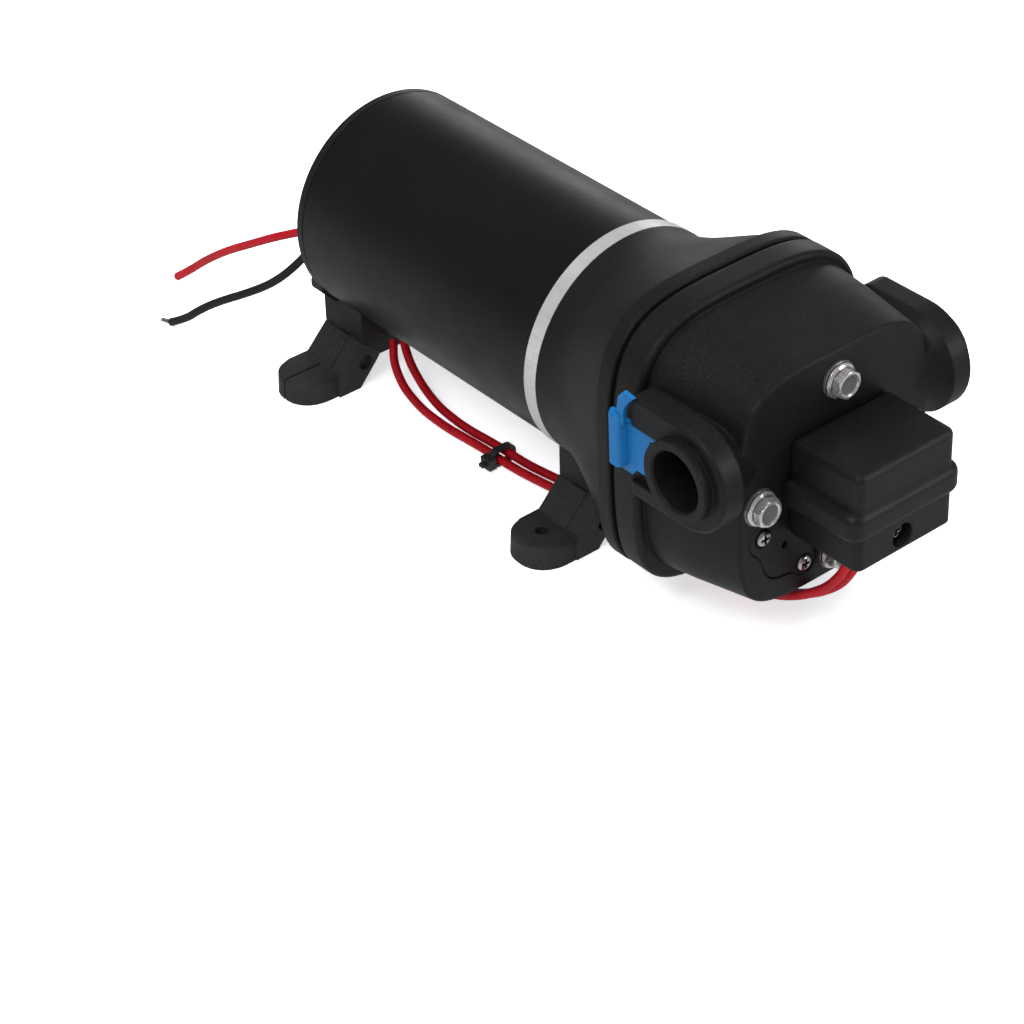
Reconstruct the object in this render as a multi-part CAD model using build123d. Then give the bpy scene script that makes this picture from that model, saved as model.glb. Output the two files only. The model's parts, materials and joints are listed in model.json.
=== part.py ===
from build123d import *
import os
import math

# Motor-driven diaphragm pump. Millimetres, +Z up, +X from the motor's rear to the head.
# Points are written in a working frame: x = 0 at the motor's rear rim, y = 0 and z = 0
# on the motor axis. Everything is moved at the end, so that the origin is the middle
# of the underside of the whole pump (leads left out of that middle).

os.makedirs("parts", exist_ok=True)

# ---------------------------------------------------------------- driving dimensions
GROUND = -56.0          # underside of the feet below the motor axis
X_MIN, X_MAX = -7.1, 231.5
XC = (X_MIN + X_MAX) / 2.0

MOTOR_R = 36.5          # casing outside radius
CASE_RI = 34.7          # casing inside radius
CAP_T = 3.1             # rear cap rim thickness
CASE_X1 = 112.8         # front end of the casing
BAND_X1 = 118.0         # front end of the aluminium front plate
BAND_R = 36.97
SHAFT_R = 4.0

FLANGE_X0, FLANGE_X1 = 152.3, 158.0     # lower housing's flange
HEAD_X0 = 160.4                          # rear of the upper housing
FACE_X = 203.5                           # front face of the upper housing
PLATE_X1 = 170.4                         # front of the valve plate
HALF_W, TOP_H, BOT_H = 43.6, 45.3, 46.0  # flange half width, top and bottom

BOLT_PR = 28.8          # head bolts, on a circle
BOLT_R = 2.5            # M5
BOLT_CLR = 2.75
FLANGE_R = 5.35
HEX_AF = 8.0

PORT_X, PORT_Z = 193.0, 12.8
PORT_R = 9.1            # port bore
RING_R = 12.3
BOSS_R = 16.5
BOSS_Y = 47.3           # face of the port boss
RING_Y = 50.3           # end of the port
BORE_Y = 30.3           # bottom of the port bore
PASSAGE_R = 5.5

CLIP_TRAVEL = 4.0
WOBBLE_X = 159.2        # the point about which the wobble plate nutates
TILT = 3.5              # degrees
PISTON_PR = 24.0
PISTON_R = 9.3
CHAMBER_R = 12.6

BOX_X1 = 230.0          # switch cover front face
BOX_W0, BOX_W1 = 17.8, 17.3   # half widths at the head and in front, left of the middle
BOX_MORE = 2.3          # the cover is this much wider on its right side
BOX_Z0, BOX_Z1 = -14.2, 17.1
RIB_OUT = 1.5
HOLE_CY, HOLE_CZ, HOLE_CR = -0.1, -9.3, 3.8     # recess of the switch cover's screw
SCREW_Z = -9.3

BAR_XF, BAR_XR = 121.0, 2.8             # bars of the base under the pump's two ends
BAR_HW = 9.9
FOOT_XF, FOOT_XR = 120.2, 1.5           # rubber feet
FOOT_HW = 9.7           # half width of a pad's top face
FOOT_SPREAD = 0.6       # a pad is this much wider at the ground, each side
FOOT_CAP_Y = 36.6
FOOT_END_Y = 47.4
HOLE_Y = 38.2
HOLE_R = 2.1
PAD_T = 7.4
SLIT_X = 0.0            # slit of a rear pad, from the pad's middle

WIRE_R = 1.4            # all four wires are 2.8 mm across

MOVE = Location((-XC, 0, -GROUND))


# ---------------------------------------------------------------- small helpers
def cx(r, x0, x1, y=0.0, z=0.0):
    return Pos((x0 + x1) / 2, y, z) * Rot(0, 90, 0) * Cylinder(r, abs(x1 - x0))


def cy(r, y0, y1, x=0.0, z=0.0):
    return Pos(x, (y0 + y1) / 2, z) * Rot(90, 0, 0) * Cylinder(r, abs(y1 - y0))


def cz(r, z0, z1, x=0.0, y=0.0):
    return Pos(x, y, (z0 + z1) / 2) * Cylinder(r, abs(z1 - z0))


def bx(x0, x1, y0, y1, z0, z1):
    return Pos((x0 + x1) / 2, (y0 + y1) / 2, (z0 + z1) / 2) * Box(
        abs(x1 - x0), abs(y1 - y0), abs(z1 - z0))


def ringx(ro, ri, x0, x1, y=0.0, z=0.0):
    return cx(ro, x0, x1, y, z) - cx(ri, x0 - 1, x1 + 1, y, z)


def polar(r, deg):
    return r * math.cos(math.radians(deg)), r * math.sin(math.radians(deg))


def soften(shape, edges, radii):
    # the largest of a few radii that the edges take
    for r in radii:
        try:
            s = fillet(edges, r)
            if s.is_valid and s.volume > 0:
                return s
        except Exception:
            continue
    print("edge left sharp, radii tried", radii)
    return shape


def egg_points(a, t, b, nt, nb, n=36):
    # rounded-square outline, half width a, top t and bottom b
    pts = []
    for i in range(n):
        th = 2 * math.pi * i / n
        c, s = math.cos(th), math.sin(th)
        p = nt if s >= 0 else nb
        y = a * math.copysign(abs(c) ** (2 / p), c)
        z = (t if s >= 0 else b) * math.copysign(abs(s) ** (2 / p), s)
        pts.append((y, z))
    return pts


def egg_face(x, a, t, b, nt, nb):
    pts = [Vector(x, y, z) for y, z in egg_points(a, t, b, nt, nb)]
    return Face(Wire([Edge.make_spline(pts, periodic=True)]))


def egg_prism(x0, x1, a, t, b, nt, nb):
    f = egg_face(x0, a, t, b, nt, nb)
    return Solid.extrude(f, Vector(x1 - x0, 0, 0))


def egg_loft(sections, ruled=False):
    wires = []
    for x, a, t, b, nt, nb in sections:
        pts = [Vector(x, y, z) for y, z in egg_points(a, t, b, nt, nb)]
        wires.append(Wire([Edge.make_spline(pts, periodic=True)]))
    return Solid.make_loft(wires, ruled)


def tilted(shape):
    # wobble pieces: turned about Y by the cam's tilt, about the nutation point
    return Pos(WOBBLE_X, 0, 0) * Rot(0, -TILT, 0) * Pos(-WOBBLE_X, 0, 0) * shape


def extrude_yz(pts, x0, x1):
    f = make_face(Polyline([Vector(x0, y, z) for y, z in pts], close=True))
    return Solid.extrude(f.faces()[0] if hasattr(f, "faces") else f, Vector(x1 - x0, 0, 0))


def extrude_xy(pts, z0, z1):
    f = make_face(Polyline([Vector(x, y, z0) for x, y in pts], close=True))
    return Solid.extrude(f.faces()[0] if hasattr(f, "faces") else f, Vector(0, 0, z1 - z0))


def mirror_y(shape):
    return mirror(shape, about=Plane.XZ)


NODES = {}


def put(name, *solids):
    # one node: one solid, or a group of separate solids
    flat = []
    for s in solids:
        if isinstance(s, (list, tuple)):
            flat.extend(s)
        else:
            flat.append(s)
    out = []
    for s in flat:
        out.extend(list(s.solids()))
    moved = [MOVE * s for s in out]
    node = moved[0] if len(moved) == 1 else Compound(children=moved)
    node.label = name
    NODES[name] = node
    print("%-24s solids %d volume %.1f" % (name, len(out), sum(s.volume for s in out)))


def coil(r_mid, r_wire, turns, length, start, axis):
    # closed-end coil spring along an axis, its ends ring-shaped
    pitch = (length - 2 * r_wire) / turns
    path = Helix(pitch=pitch, height=pitch * turns, radius=r_mid)
    prof = Plane(origin=path @ 0, z_dir=path % 0) * Circle(r_wire)
    s = sweep(prof, path=path, is_frenet=True)
    turn = {"X": Rot(0, 90, 0), "-X": Rot(0, -90, 0), "Y": Rot(-90, 0, 0), "-Y": Rot(90, 0, 0)}[axis]
    off = {"X": (r_wire, 0, 0), "-X": (-r_wire, 0, 0), "Y": (0, r_wire, 0), "-Y": (0, -r_wire, 0)}[axis]
    return Pos(start[0] + off[0], start[1] + off[1], start[2] + off[2]) * turn * s


def tube(name, pts, r):
    # straight runs joined by tangent arcs, each as large as its two runs allow
    v = [Vector(*p) for p in pts]
    radii = []
    for i in range(1, len(v) - 1):
        a, b = v[i] - v[i - 1], v[i + 1] - v[i]
        turn = math.radians(a.get_angle(b))
        radii.append(0.45 * min(a.length, b.length) / math.tan(turn / 2))
    path = FilletPolyline(*v, radius=radii)
    d = (v[1] - v[0]).normalized()
    prof = Plane(origin=v[0], z_dir=d) * Circle(r)
    s = sweep(prof, path=path)
    length = path.length
    print(name, "radii", [round(q, 1) for q in radii], "length %.1f" % length,
          "volume ratio %.4f" % (s.volume / (math.pi * r * r * length)))
    return s


# ---------------------------------------------------------------- motor
TIE = [polar(31.5, 225), polar(31.5, 45)]
tie_y, tie_z = TIE[0]

cap = cx(MOTOR_R, 0, CAP_T)
cap = soften(cap, cap.edges().filter_by(GeomType.CIRCLE).group_by(Axis.X)[0], [0.6, 0.4])
cap -= cx(33.2, -1, 1.0)
cap += cx(13.5, -1.5, CAP_T)
cap += ringx(34.6, 31.0, CAP_T, 9.0)
cap += ringx(14.0, 11.0, CAP_T, 9.6)
cap -= cx(11.0, 2.6, 12)
lug = cx(6.8, -4.8, 2.0, -23.4, -21.6)
lug = soften(lug, lug.edges().filter_by(GeomType.CIRCLE).group_by(Axis.X)[0], [1.6, 1.0, 0.6])
lug = lug & cx(37.6, -6, 3)
cap += lug - bx(-8, 4, -24.4, 24.4, -45, -27.9)
for y, z in TIE:
    cap += cx(4.2, 1.0, 9.0, y, z) & cx(34.6, 0, 10)
cap += cx(6.0, -2.0, 2.0, *TIE[1]) & cx(36.4, -3, 3)
for y, z in TIE:
    cap -= cx(2.2, -8, 12, y, z)
cap -= cx(4.1, -8, -2.4, *TIE[0])
LEAD_Y, LEAD_ZR, LEAD_ZB = -20.0, -6.2, -10.6
cap -= bx(-3, 5, LEAD_Y - 3.0, LEAD_Y + 3.0, -13.4, -3.4)
for x, y in ((5.8, -11.0), (5.8, 11.0)):
    cap -= cz(1.55, -45, -29, x, y)
put("rear_end_cap", cap)

# the two power leads leave through one moulded grommet
gy0, gy1, gz0, gz1 = LEAD_Y - 4.2, LEAD_Y + 4.2, -14.6, -2.2
gro = bx(-2.6, 1.0, gy0, gy1, gz0, gz1)
gro = soften(gro, gro.edges().filter_by(Axis.X), [2.2, 1.0])
gro += bx(0.9, 4.6, LEAD_Y - 2.95, LEAD_Y + 2.95, -13.35, -3.45)
gro += bx(3.1, 4.6, LEAD_Y - 3.8, LEAD_Y + 3.8, -14.2, -2.6)
for z in (LEAD_ZR, LEAD_ZB):
    gro -= cx(WIRE_R, -5, 6, LEAD_Y, z)
put("lead_grommet", gro)

WG_X, WG_Y = 18.2, -13.25      # where the switch wires leave the casing's underside
case = cx(MOTOR_R, CAP_T, CASE_X1) - cx(CASE_RI, 0, 120)
case -= ringx(38, MOTOR_R - 0.45, CAP_T - 0.1, CAP_T + 0.42)
case -= cz(3.9, -40, -28, WG_X, WG_Y)
BASE_SCREWS = [(5.8, -11.0), (5.8, 11.0), (121.0, -11.0), (121.0, 11.0)]
for x, y in BASE_SCREWS[:2]:
    case -= cz(1.6, -40, -28, x, y)
put("motor_casing", case)


def arc_piece(ri, ro, x0, x1, mid, span):
    # a sector of a ring
    s = ringx(ro, ri, x0, x1)
    big = 80
    cut = None
    for side in (-1, 1):
        ang = mid + side * span / 2
        # half-space beyond one end of the sector
        h = Pos(0, 0, 0) * bx(x0 - 2, x1 + 2, -big, big, 0, big)
        h = Rot(ang if side > 0 else ang + 180, 0, 0) * h
        cut = h if cut is None else cut
        s = s - h
    return s


# two magnets; the tie screws run in the gaps between them
mags = [arc_piece(27.6, 34.6, 32, 92, 135, 136), arc_piece(27.6, 34.6, 32, 92, 315, 136)]
put("motor_magnets", mags)

# rotor
shaft = cx(SHAFT_R, 3.0, 141.2)
shaft -= bx(126, 147, -5, 5, SHAFT_R - 0.6, SHAFT_R + 1)
put("rotor_shaft", shaft)

core = ringx(26.6, SHAFT_R, 36, 88)
N_SLOT = 12
for i in range(N_SLOT):
    y, z = polar(19.5, i * 360 / N_SLOT)
    a = i * 360 / N_SLOT
    c = Rot(a, 0, 0) * (bx(35, 89, 14.0, 24.0, -2.2, 2.2) + bx(35, 89, 23.5, 28.0, -0.9, 0.9))
    core -= c
put("armature_core", core)

wind = None
for i in range(N_SLOT):
    a = i * 360 / N_SLOT
    b = Rot(a, 0, 0) * bx(30, 94, 14.3, 23.7, -2.0, 2.0)
    wind = b if wind is None else wind + b
for x0, x1 in ((29, 35.9), (88.1, 95)):
    t = ringx(24.2, 9.0, x0, x1)
    t = soften(t, t.edges().filter_by(GeomType.CIRCLE), [2.4, 1.5, 0.8])
    wind += t
put("armature_windings", wind)

comm = ringx(10.0, SHAFT_R, 12.5, 26.5)
comm += ringx(12.0, SHAFT_R, 24.5, 27.5)
for i in range(12):
    comm -= Rot(i * 30 + 15, 0, 0) * bx(12, 24.4, 9.0, 11.0, -0.3, 0.3)
put("commutator", comm)

card = ringx(30.8, 8.0, 9.9, 11.9)
for y, z in TIE:
    card -= cx(5.0, 8, 14, y, z)
card -= bx(8, 14, LEAD_Y - 5, LEAD_Y + 5, -16, -1.5)
put("brush_plate", card)

holders, brushes, springs = [], [], []
for sgn in (-1, 1):
    h = bx(11.9, 23.4, 12.5, 27.5, -4.9, 4.9) - bx(12.9, 22.4, 12.0, 26.6, -3.9, 3.9)
    b = bx(13.0, 22.3, 10.0, 21.6, -3.8, 3.8) - cx(10.3, 10, 25)
    sp = coil(2.6, 0.4, 4, 5.0, (17.65, 21.6, 0), "Y")
    if sgn < 0:
        h, b, sp = mirror_y(h), mirror_y(b), mirror_y(sp)
    holders.append(h)
    brushes.append(b)
    springs.append(sp)
put("brush_holders", holders)
put("carbon_brushes", brushes)
put("brush_springs", springs)


def ball_bearing(ri, ro, x0, x1, n=8):
    # outer ring, inner ring and a shielded row of balls between them
    g = (ro - ri)
    r1, r2 = ri + 0.28 * g, ro - 0.28 * g
    outer = ringx(ro, r2, x0, x1)
    inner = ringx(r1, ri, x0, x1)
    shield = ringx(r2 - 0.02, r1 + 0.02, x0 + 0.5, x1 - 0.5)
    return [outer, inner, shield]


put("rear_bearing", ball_bearing(SHAFT_R + 0.03, 10.98, 2.62, 9.6))
put("front_bearing", ball_bearing(SHAFT_R + 0.03, 10.98, 107.0, 114.0))

# aluminium front plate: its edge is the bright band
HOUSE_SCREWS = [polar(26.0, a) for a in (45, 135, 225, 315)]
fp = cx(BAND_R, CASE_X1, BAND_X1)
fp += ringx(34.6, 31.0, 107, CASE_X1)
fp += cx(14.5, 105, CASE_X1)
for y, z in HOUSE_SCREWS:
    fp += cx(5.2, 106, CASE_X1, y, z)
for y, z in TIE:
    fp += cx(4.2, 107, CASE_X1, y, z) & cx(34.6, 106, CASE_X1)
fp -= cx(11.0, 100, 114)
fp -= cx(5.2, 100, 120)
for y, z in HOUSE_SCREWS:
    fp -= cx(2.45, 107.5, 120, y, z)
for y, z in TIE:
    fp -= cx(2.02, 100, 116.5, y, z)
put("motor_front_plate", fp)

ties = []
for k, (y, z) in enumerate(TIE):
    h0 = -2.4 if k == 0 else -2.0
    t = cx(2.0, h0, 116.0, y, z) + cx(3.6, h0 - 2.4, h0, y, z)
    t -= bx(h0 - 3, h0 - 1.4, y - 0.5, y + 0.5, z - 4, z + 4)
    ties.append(t)
put("motor_tie_screws", ties)

# ---------------------------------------------------------------- lower housing
lh = egg_loft([
    (BAND_X1, 36.9, 36.9, 36.9, 2.0, 2.0),
    (129.0, 37.5, 37.7, 37.8, 2.12, 2.12),
    (141.0, 40.0, 40.9, 41.3, 2.65, 2.8),
    (FLANGE_X0, 42.6, 44.2, 44.9, 3.4, 3.9),
])
flange = egg_prism(FLANGE_X0, FLANGE_X1, HALF_W, TOP_H, BOT_H, 3.5, 4.2)
flange = soften(flange, flange.edges(), [0.7, 0.5])
lh = lh + flange
cav = cx(33.0, 124, 141) + egg_prism(140, 160, 36.0, 36.0, 36.0, 4.0, 4.0)
for a in (0, 90, 180, 270):
    y, z = polar(BOLT_PR, a)
    cav -= cx(6.2, 136, FLANGE_X1, y, z)
lh -= cav
lh -= cx(8.0, 110, 130)
for y, z in HOUSE_SCREWS:
    lh -= cx(2.7, 110, 130, y, z)
for a in (0, 90, 180, 270):
    y, z = polar(BOLT_PR, a)
    lh -= cx(3.62, 140, 150.1, y, z)
    lh -= cx(BOLT_CLR, 139, 160, y, z)
for x, y in BASE_SCREWS[2:]:
    lh -= cz(1.55, -45, -29.5, x, y)
put("lower_housing", lh)

put("housing_screws", [cx(2.4, 108.5, 124.0, y, z) + (cx(4.4, 124.0, 126.8, y, z)
                       - bx(125.4, 127, y - 0.6, y + 0.6, z - 5, z + 5)) for y, z in HOUSE_SCREWS])
put("bolt_inserts", [ringx(3.6, BOLT_R + 0.02, 140, 150, *polar(BOLT_PR, a)) for a in (0, 90, 180, 270)])

# ---------------------------------------------------------------- wobble drive
# the cam hub's outside is tilted, so the plate on its bearing nutates
cam = tilted(cx(7.5, 128.0, 141.0) + cx(9.2, 126.0, 128.0))
cam -= cx(SHAFT_R, 120, 150)
cam += bx(127, 140, -2.5, 2.5, SHAFT_R - 0.6, 5.0) & tilted(cx(7.5, 128.0, 141.0))
put("cam_hub", cam)

wb_in = tilted(ringx(9.6, 7.52, 128.05, 137.0))
put("wobble_bearing_inner", wb_in)
wb_out = tilted(ringx(16.0, 13.9, 128.0, 137.0))
put("wobble_bearing_outer", wb_out)
balls = ringx(13.0, 10.5, 131.9, 133.1)
for i in range(9):
    y, z = polar(11.75, i * 40 + 10)
    balls += Pos(132.5, y, z) * Sphere(2.08)
put("wobble_bearing_balls", tilted(balls))

wp = ringx(19.6, 16.02, 129.0, 141.0) + cx(19.6, 137.1, 144.5) - cx(8.6, 130, 142.0)
wp -= cx(16.02, 125, 137.1)
for a in (45, 135):
    wp += Rot(a, 0, 0) * bx(139.0, 144.5, -PISTON_PR, PISTON_PR, -5.0, 5.0) - cx(8.6, 130, 142.0)
for a in (45, 135, 225, 315):
    y, z = polar(PISTON_PR, a)
    wp += cx(5.0, 139.0, 156.0, y, z)
    pad = cx(PISTON_R, 155.0, 158.2, y, z)
    wp += soften(pad, pad.edges().filter_by(GeomType.CIRCLE), [1.0, 0.6])
for a in (45, 135, 225, 315):
    y, z = polar(PISTON_PR, a)
    wp -= cx(1.6, 147.0, 160.0, y, z)
put("wobble_plate", tilted(wp))

pist, pscrew = [], []
for a in (45, 135, 225, 315):
    y, z = polar(PISTON_PR, a)
    p = cx(PISTON_R, 160.2, 163.4, y, z)
    p = soften(p, p.edges().filter_by(GeomType.CIRCLE), [0.8, 0.5])
    p -= cx(1.65, 158, 165, y, z)
    p -= cx(3.1, 161.6, 165, y, z)
    pist.append(tilted(p))
    s = cx(1.55, 148.5, 161.6, y, z) + cx(3.0, 161.6, 163.2, y, z)
    s -= bx(162.4, 164, y - 0.4, y + 0.4, z - 4, z + 4)
    pscrew.append(tilted(s))
put("pistons", pist)
put("piston_screws", pscrew)

# diaphragm: one moulded sheet, clamped at its rim, with four discs held between the
# wobble plate and the pistons and a bead round each disc that rolls as it moves
dia = egg_prism(FLANGE_X1, HEAD_X0, 42.0, 43.7, 44.4, 3.5, 4.2)
dia -= egg_prism(150, FLANGE_X1 + 0.4, 34.0, 34.0, 34.0, 4.0, 4.0) - cx(1, 0, 1)
for a in (45, 135, 225, 315):
    y, z = polar(PISTON_PR, a)
    dia -= cx(11.8, 150, 170, y, z)
for a in (45, 135, 225, 315):
    y, z = polar(PISTON_PR, a)
    bead = ringx(12.4, 9.8, 157.3, 161.3, y, z)
    disc = tilted(cx(10.2, 158.3, 160.1, y, z) - cx(1.7, 150, 170, y, z))
    dia += bead
    dia += disc
for a in (0, 90, 180, 270):
    y, z = polar(BOLT_PR, a)
    dia -= cx(BOLT_CLR, 150, 170, y, z)
put("diaphragm", dia)

# ---------------------------------------------------------------- valve plate and valves
vp = egg_prism(HEAD_X0, PLATE_X1, 36.0, 36.0, 36.0, 4.0, 4.0)
inlet_valves = []
for a in (45, 135, 225, 315):
    y, z = polar(PISTON_PR, a)
    vp -= cx(CHAMBER_R, HEAD_X0 - 1, 167.6, y, z)
    iy, iz = polar(28.5, a)
    for k in range(4):
        dy, dz = polar(2.9, 45 + 90 * k)
        vp -= cx(0.95, 165, 172, iy + dy, iz + dz)
    vp -= cx(1.1, 165, 172, iy, iz)
    oy, oz = polar(13.2, a)
    vp -= cx(1.5, 160, 172, oy, oz)
    v = cx(4.6, 166.6, 167.6, iy, iz) + cx(1.08, 167.0, 170.6, iy, iz)
    d = cx(1.7, 170.45, 172.0, iy, iz)
    v += soften(d, d.edges().filter_by(GeomType.CIRCLE), [0.6, 0.4])
    inlet_valves.append(v)
vp -= cx(1.5, 163.0, 172, 0, 0)
for a in (0, 90, 180, 270):
    vp -= cx(BOLT_CLR, 150, 175, *polar(BOLT_PR, a))
# seal groove round the outlet wall
vp -= ringx(18.1, 16.1, 169.6, 171)
put("valve_plate", vp)
put("inlet_valves", inlet_valves)
ov = cx(15.2, PLATE_X1 + 0.02, 171.4) + cx(1.48, 163.2, 170.6)
ov += cx(4.0, 171.3, 172.6)
put("outlet_valve", ov)
put("valve_plate_seal", ringx(18.05, 16.15, 169.62, 170.38))

# ---------------------------------------------------------------- upper housing
skirt = egg_prism(HEAD_X0, 169.2, 43.5, 45.5, 45.8, 3.5, 4.2)
skirt = soften(skirt, skirt.edges().group_by(Axis.X)[-1], [1.6, 1.0, 0.6])
body = egg_loft([
    (HEAD_X0, 41.4, 42.9, 42.4, 3.7, 4.3),
    (182.0, 39.0, 41.1, 39.7, 3.9, 4.3),
    (FACE_X, 35.8, 38.4, 36.4, 4.2, 4.4),
], True)
body = soften(body, body.edges().group_by(Axis.X)[-1], [1.0, 0.7, 0.4])
uh = skirt + body


def blend_solid():
    # the boss's inner end: its radius falls off along a hollow arc towards the head's middle
    r0, yc, big = 10.1, 26.5, 17.44

    def rad(y):
        return r0 + big - math.sqrt(big * big - (y - yc) ** 2)

    ym, ye = 35.0, 41.2
    arc = ThreePointArc((PORT_X + r0, yc, PORT_Z), (PORT_X + rad(ym), ym, PORT_Z), (PORT_X + rad(ye), ye, PORT_Z))
    line = Polyline((PORT_X + rad(ye), ye, PORT_Z), (PORT_X, ye, PORT_Z), (PORT_X, yc, PORT_Z), (PORT_X + r0, yc, PORT_Z))
    f = Face(Wire(list(arc.edges()) + list(line.edges())))
    round_end = revolve(f, Axis((PORT_X, 0, PORT_Z), (0, 1, 0)), 360)
    up = ThreePointArc((PORT_X, yc, PORT_Z + r0), (PORT_X, ym, PORT_Z + rad(ym)), (PORT_X, ye, PORT_Z + rad(ye)))
    dn = ThreePointArc((PORT_X, ye, PORT_Z - rad(ye)), (PORT_X, ym, PORT_Z - rad(ym)), (PORT_X, yc, PORT_Z - r0))
    a = Polyline((PORT_X, ye, PORT_Z + rad(ye)), (PORT_X, ye, PORT_Z - rad(ye)))
    c = Polyline((PORT_X, yc, PORT_Z - r0), (PORT_X, yc, PORT_Z + r0))
    g = Face(Wire(list(up.edges()) + list(a.edges()) + list(dn.edges()) + list(c.edges())))
    straight = Solid.extrude(g, Vector(-33.0, 0, 0))
    return round_end + straight


def boss_solid(side):
    # port boss: round in front, run back to the skirt with straight sides
    y0, y1 = (30.0, BOSS_Y)
    b = cy(BOSS_R, y0, y1, PORT_X, PORT_Z)
    b += bx(171.5, PORT_X, y0, y1, PORT_Z - BOSS_R, PORT_Z + BOSS_R)
    top = b.edges().filter_by(Axis.Y).filter_by(lambda q: q.center().X < 172 and q.center().Z > PORT_Z)
    b = soften(b, top, [4.5 if side > 0 else 2.0, 1.0])
    b = soften(b, b.edges().group_by(Axis.Y)[-1], [1.3, 0.8, 0.4])
    # hollow blend from the head's face and side up to the full boss
    b -= bx(165, 215, 29.0, 41.0, -12, 42) - blend_solid()
    b += cy(RING_R, 44.0, RING_Y, PORT_X, PORT_Z)
    return b if side > 0 else mirror_y(b)


for side in (-1, 1):
    uh += boss_solid(side)
# valve plate pocket and inlet plenum
uh -= egg_prism(HEAD_X0 - 1, PLATE_X1, 36.1, 36.1, 36.1, 4.0, 4.0)
plenum = egg_prism(PLATE_X1 - 0.5, 198.5, 31.0, 32.5, 31.5, 4.0, 4.2)
plenum -= cx(18.2, 160, 200)
for a in (0, 90, 180, 270):
    plenum -= cx(5.6, 160, 200, *polar(BOLT_PR, a))
for side in (-1, 1):
    y0, y1 = (20.0, 36.0) if side > 0 else (-36.0, -27.0)
    plenum -= cy(12.4, y0, y1, PORT_X, PORT_Z)
plenum -= cy(8.0, 0.0, 24.0, PORT_X, PORT_Z)
uh -= plenum
uh -= cx(16.0, PLATE_X1 - 0.5, 198.5)
# ports: bore, then a narrower passage; left opens into the plenum, right into the outlet wall
for side in (-1, 1):
    uh -= cy(PORT_R, side * BORE_Y, side * (RING_Y + 1), PORT_X, PORT_Z)
uh -= cy(PASSAGE_R, -31.0, -24.0, PORT_X, PORT_Z)
uh -= cy(PASSAGE_R, 6.0, 31.0, PORT_X, PORT_Z)
# chamfer at each port's mouth
for side in (-1, 1):
    k = Cone(PORT_R + 0.6, PORT_R, 0.6)
    k = Pos(PORT_X, side * (RING_Y - 0.3), PORT_Z) * Rot(90 * side, 0, 0) * k
    uh -= k
# channel of each slide clip: open to the boss's face behind the ring, then a slot under the
# ring that stops at a thin wall round the bore; one narrow slot lets the prong into the bore
CH_Z0, CH_Z1 = 1.2, 19.8
WALL_R = 10.2
chan = bx(170, 187, 45.1, 49, CH_Z0, CH_Z1) - cy(RING_R, 40, 60, PORT_X, PORT_Z)
chan += bx(170, 187, 45.1, 46.95, CH_Z0, CH_Z1) - cy(WALL_R, 40, 60, PORT_X, PORT_Z)
chan += bx(181, 190.6, 45.1, 46.95, PORT_Z + 4.7, PORT_Z + 6.7)
uh -= mirror_y(chan)
uh -= mirror(chan, about=Plane.XY.offset(PORT_Z))
# bolts: clearance hole and a round seat cut where the boss stands in the way
for a in (0, 90, 180, 270):
    y, z = polar(BOLT_PR, a)
    uh -= cx(BOLT_CLR, 150, 210, y, z)
    uh -= cx(6.5, FACE_X, 215, y, z)
# pocket of the small lobed plate on the front face
PLATE_PTS = [(-31.9, -10.6), (-31.0, -15.3), (-27.9, -18.9), (-26.7, -22.6), (-23.6, -26.9), (-19.0, -28.3),
             (-16.2, -28.9), (-13.2, -31.4), (-9.3, -31.2), (-6.9, -28.2), (-7.2, -24.6), (-8.2, -20.0),
             (-10.0, -15.5), (-14.5, -11.0), (-20.0, -8.4), (-24.0, -7.2), (-27.6, -6.6), (-30.6, -7.8)]


def plate_solid(x0, x1, grow=0.0):
    cyy = sum(p[0] for p in PLATE_PTS) / len(PLATE_PTS)
    czz = sum(p[1] for p in PLATE_PTS) / len(PLATE_PTS)
    pts = []
    for y, z in PLATE_PTS:
        d = math.hypot(y - cyy, z - czz)
        pts.append(Vector(x0, y + grow * (y - cyy) / d, z + grow * (z - czz) / d))
    f = Face(Wire([Edge.make_spline(pts, periodic=True)]))
    return Solid.extrude(f, Vector(x1 - x0, 0, 0))


CPS = [(-26.8, -11.8), (-11.1, -28.0)]
uh -= plate_solid(201.6, 206, 0.35)
for y, z in CPS:
    uh -= cx(1.45, 199.2, 204, y, z)
# pressure tapping to the switch, and the switch cover's screw hole
SW_Z = 4.6
uh -= cx(1.6, 195, 206, 0, SW_Z)
uh -= cx(1.5, 199.6, 206, 0, SCREW_Z)
put("upper_housing", uh)

cp = plate_solid(201.6, 203.25)
for y, z in CPS:
    cp -= cx(3.0, 202.5, 206, y, z)
    cp -= cx(1.7, 200, 206, y, z)
cp -= cx(1.25, 200, 206, -18.6, -18.0)
put("cover_plate", cp)


def cross_screw(x_seat, y, z, r_head, h_head, r_shank, depth):
    # domed head with a cross recess, facing +X
    s = cx(r_head, x_seat, x_seat + h_head, y, z)
    s = soften(s, s.edges().filter_by(GeomType.CIRCLE).group_by(Axis.X)[-1], [0.75 * h_head, 0.5 * h_head, 0.3])
    s += cx(r_shank, x_seat - depth, x_seat + 0.1, y, z)
    w = 0.17 * r_head
    for dy, dz in ((0.62 * r_head, w), (w, 0.62 * r_head)):
        s -= Rot(0, 0, 0) * bx(x_seat + 0.35 * h_head, x_seat + h_head + 1, y - dy, y + dy, z - dz, z + dz)
    return s


put("cover_screws", [cross_screw(202.5, y, z, 2.6, 1.7, 1.4, 3.2) for y, z in CPS])

# ---------------------------------------------------------------- head bolts
def hex_prism(x0, x1, af, y, z, turn=0.0):
    r = af / math.sqrt(3)
    pts = [(r * math.cos(math.radians(turn + 60 * k)), r * math.sin(math.radians(turn + 60 * k))) for k in range(6)]
    return Pos(0, y, z) * extrude_yz(pts, x0, x1)


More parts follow.
